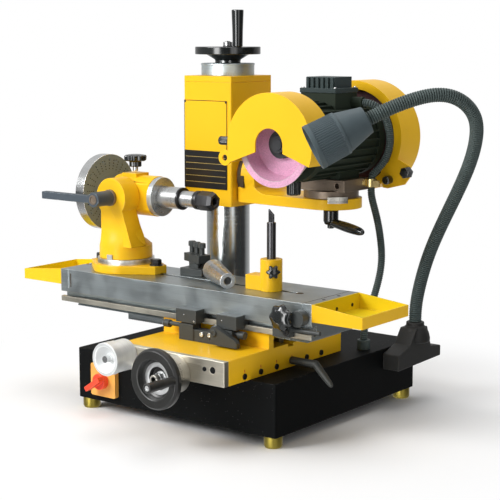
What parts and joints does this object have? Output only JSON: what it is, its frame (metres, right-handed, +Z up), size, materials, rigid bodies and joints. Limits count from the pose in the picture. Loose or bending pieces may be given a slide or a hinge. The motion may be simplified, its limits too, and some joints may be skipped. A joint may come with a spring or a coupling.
{
  "type": "tool and cutter grinder",
  "caption": "Bench tool and cutter grinder: base with cross saddle and sliding table, swivelling workhead, and a cup-wheel head on a column with a lamp.",
  "frame": {"origin": "middle of the four feet on the floor", "axes": "+X to the right along the table, +Y to the back, +Z up"},
  "size_m": [0.8664, 0.6773, 0.7358],
  "materials": {
    "black_paint": "speckled black paint",
    "yellow_paint": "glossy yellow paint",
    "black_metal": "blackened",
    "ground_steel": "ground",
    "dark_steel": "ground, browned",
    "bright_steel": "polished",
    "aluminium": "turned",
    "brass": "dull",
    "grey_plastic": "matt",
    "black_plastic": "gloss",
    "red_plastic": "gloss",
    "switch_yellow": "satin",
    "abrasive": "gritty",
    "bulb_glass": "clear"
  },
  "bodies": {
    "base": {"base_box": "black_paint", "feet": "brass", "feed_nuts": "brass", "column": "bright_steel", "switch_plate": "switch_yellow", "lamp_bracket": "grey_plastic", "gooseneck": "grey_plastic", "base_gland": "grey_plastic", "conduit_drop": "grey_plastic"},
    "switch": {"switch_knob": "red_plastic"},
    "lamp": {"lamp_shade": "grey_plastic", "lamp_bulb": "bulb_glass"},
    "saddle": {"saddle": "yellow_paint", "front_plate": "ground_steel", "saddle_screws": "black_metal", "stop_bracket": "black_metal"},
    "saddle_clamp": {"saddle_lever": "black_metal"},
    "stop_trip": {"stop_lever": "black_metal"},
    "cross_feed": {"cross_screw": "bright_steel", "cross_wheel": "black_plastic"},
    "table_drive": {"pinion_shaft": "ground_steel", "table_knob": "aluminium"},
    "table": {"table": "ground_steel", "table_rack": "ground_steel", "tray_left": "yellow_paint", "tray_right": "yellow_paint", "table_dog": "black_metal", "tool_fixture": "black_metal", "taper_sleeve": "bright_steel", "rest_post": "yellow_paint", "workhead_base": "yellow_paint", "swivel_ring": "aluminium"},
    "table_clamp": {"table_star": "black_plastic"},
    "left_dog": {"stop_dog_left": "black_metal"},
    "right_dog": {"stop_dog_right": "black_metal"},
    "rest": {"rest_rod": "black_metal"},
    "rest_clamp": {"rest_star": "black_plastic"},
    "work_bracket": {"workhead_bracket": "yellow_paint"},
    "tilt_clamp": {"tilt_lever": "black_metal"},
    "work_head": {"spindle_housing": "yellow_paint"},
    "head_clamp": {"housing_star": "black_plastic"},
    "spindle": {"work_spindle": "bright_steel", "index_disc": "ground_steel", "collet_nut": "black_metal"},
    "wheelhead_box": {"head_box": "yellow_paint", "head_panel": "black_metal"},
    "lift_drive": {"lift_screw": "bright_steel", "lift_dial": "aluminium", "lift_wheel": "black_plastic"},
    "arm": {"arm": "yellow_paint"},
    "swivel_clamp": {"clamp_lever": "black_metal"},
    "wheelhead": {"swivel_plate": "dark_steel", "motor_housing": "black_metal", "front_guard": "yellow_paint", "rear_guard": "yellow_paint", "guard_knobs": "black_plastic", "conduit_clip": "brass", "conduit_upper": "grey_plastic"},
    "wheel_spindle": {"motor_shaft": "ground_steel", "grinding_wheels": "abrasive"}
  },
  "joints": [
    {"name": "saddle_cross", "type": "slide", "parent": "base", "child": "saddle", "axis": [0, 1, 0], "range_m": [-0.06, 0.05]},
    {"name": "table_travel", "type": "slide", "parent": "saddle", "child": "table", "axis": [1, 0, 0], "range_m": [-0.1, 0.1]},
    {"name": "cross_turn", "type": "hinge", "parent": "saddle", "child": "cross_feed", "pos_m": [0.07, -0.3, 0.123], "axis": [0, 1, 0], "range_deg": [-6000, 6000]},
    {"name": "table_knob_turn", "type": "hinge", "parent": "saddle", "child": "table_drive", "pos_m": [-0.045, -0.3, 0.14], "axis": [0, 1, 0], "range_deg": [-430, 430]},
    {"name": "saddle_clamp_turn", "type": "hinge", "parent": "saddle", "child": "saddle_clamp", "pos_m": [0.2, -0.105, 0.126], "axis": [1, 0, 0], "range_deg": [-40, 40]},
    {"name": "stop_trip_turn", "type": "hinge", "parent": "saddle", "child": "stop_trip", "pos_m": [0.088, -0.2, 0.173], "axis": [0, 1, 0], "range_deg": [-30, 0]},
    {"name": "left_dog_set", "type": "slide", "parent": "table", "child": "left_dog", "axis": [1, 0, 0], "range_m": [-0.1, 0.02]},
    {"name": "right_dog_set", "type": "slide", "parent": "table", "child": "right_dog", "axis": [1, 0, 0], "range_m": [-0.02, 0.06]},
    {"name": "table_clamp_turn", "type": "hinge", "parent": "table", "child": "table_clamp", "pos_m": [0.224, -0.176, 0.2236], "axis": [0, 1, 0], "continuous": true},
    {"name": "rest_height", "type": "slide", "parent": "table", "child": "rest", "axis": [0, 0, 1], "range_m": [0, 0.03]},
    {"name": "rest_clamp_turn", "type": "hinge", "parent": "table", "child": "rest_clamp", "pos_m": [0.15079, -0.12579, 0.2831], "axis": [-0.7071, 0.7071, 0], "continuous": true},
    {"name": "workhead_swivel", "type": "hinge", "parent": "table", "child": "work_bracket", "pos_m": [-0.214, -0.1045, 0.28], "axis": [0, 0, 1], "range_deg": [-45, 20]},
    {"name": "workhead_tilt", "type": "hinge", "parent": "work_bracket", "child": "work_head", "pos_m": [-0.214, -0.1045, 0.3881], "axis": [0, 1, 0], "range_deg": [-15, 15]},
    {"name": "tilt_clamp_turn", "type": "hinge", "parent": "work_bracket", "child": "tilt_clamp", "pos_m": [-0.214, -0.16, 0.3881], "axis": [0, 1, 0], "range_deg": [-30, 30]},
    {"name": "spindle_turn", "type": "hinge", "parent": "work_head", "child": "spindle", "pos_m": [-0.2, -0.075, 0.3881], "axis": [1, 0, 0], "continuous": true},
    {"name": "head_clamp_turn", "type": "hinge", "parent": "work_head", "child": "head_clamp", "pos_m": [-0.214, -0.075, 0.44], "axis": [0, 0, 1], "continuous": true},
    {"name": "head_lift", "type": "slide", "parent": "base", "child": "wheelhead_box", "axis": [0, 0, 1], "range_m": [-0.035, 0.1], "deforming": ["conduit_drop"]},
    {"name": "lift_turn", "type": "hinge", "parent": "wheelhead_box", "child": "lift_drive", "pos_m": [-0.112, 0.08, 0.62], "axis": [0, 0, 1], "range_deg": [-9500, 9500]},
    {"name": "arm_tilt", "type": "hinge", "parent": "wheelhead_box", "child": "arm", "pos_m": [-0.05, 0.08, 0.423], "axis": [1, 0, 0], "range_deg": [-10, 8]},
    {"name": "swivel_clamp_turn", "type": "hinge", "parent": "arm", "child": "swivel_clamp", "pos_m": [0.131, 0.08, 0.35], "axis": [0, 0, 1], "range_deg": [-30, 8]},
    {"name": "wheelhead_swivel", "type": "hinge", "parent": "arm", "child": "wheelhead", "pos_m": [0.131, 0.08, 0.4], "axis": [0, 0, 1], "range_deg": [-30, 30]},
    {"name": "wheel_spin", "type": "hinge", "parent": "wheelhead", "child": "wheel_spindle", "pos_m": [0.131, 0.08, 0.5003], "axis": [0, 1, 0], "continuous": true},
    {"name": "switch_turn", "type": "hinge", "parent": "base", "child": "switch", "pos_m": [-0.157, -0.235, 0.063], "axis": [0, 1, 0], "range_deg": [0, 90]},
    {"name": "lamp_aim", "type": "hinge", "parent": "base", "child": "lamp", "pos_m": [0.324, -0.1, 0.552], "axis": [0.682, -0.7314, 0], "range_deg": [-12, 12], "deforming": ["gooseneck"]}
  ],
  "couplings": [
    {"joint": "cross_turn", "follows": "saddle_cross", "rad_per_m": 1570.8},
    {"joint": "table_knob_turn", "follows": "table_travel", "rad_per_m": 74.074},
    {"joint": "lift_turn", "follows": "head_lift", "rad_per_m": 1570.8}
  ]
}
